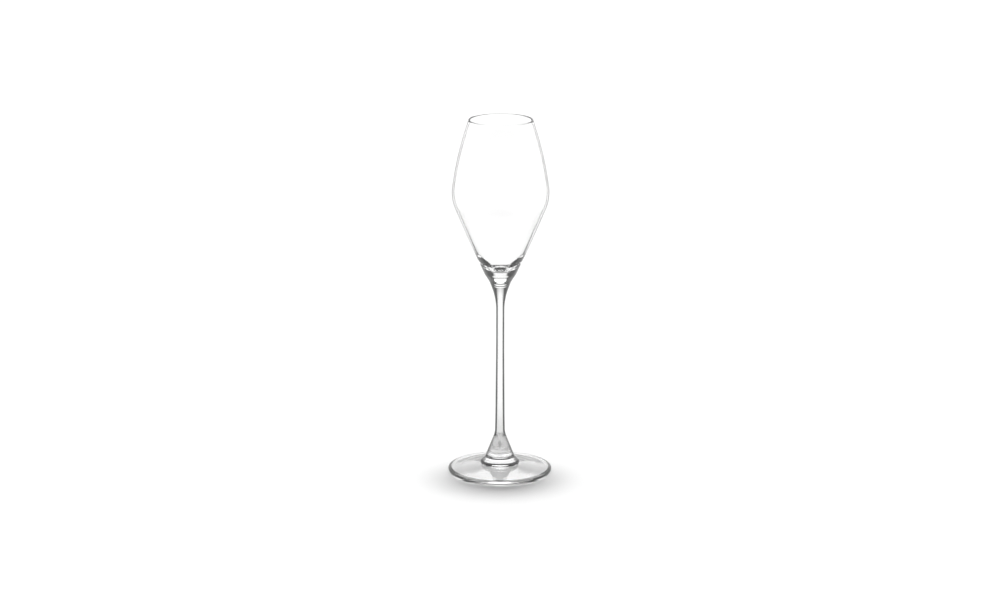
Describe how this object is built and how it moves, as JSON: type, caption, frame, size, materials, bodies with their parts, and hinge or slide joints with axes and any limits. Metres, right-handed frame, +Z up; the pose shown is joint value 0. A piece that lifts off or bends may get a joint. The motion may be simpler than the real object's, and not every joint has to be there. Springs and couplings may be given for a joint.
{
  "type": "champagne flute",
  "caption": "Clear stemmed glass with a double-cone bowl, thick solid base, slim drawn stem flaring into a cone, and a thin round foot.",
  "frame": {"origin": "centre of the resting plane, under the foot, on the glass's vertical axis", "axes": "+Z up along the axis from the foot to the rim; the glass is turned about Z, so X and Y are any two level directions"},
  "size_m": [0.072, 0.072, 0.25],
  "materials": {
    "bowl_glass": "clear colourless crystal, fire-polished",
    "stem_glass": "clear colourless crystal, drawn, with fine rings at the cone",
    "foot_glass": "clear colourless crystal, pressed and fire-polished"
  },
  "bodies": {
    "root": {"bowl": "bowl_glass", "stem": "stem_glass", "foot": "foot_glass"}
  },
  "joints": []
}
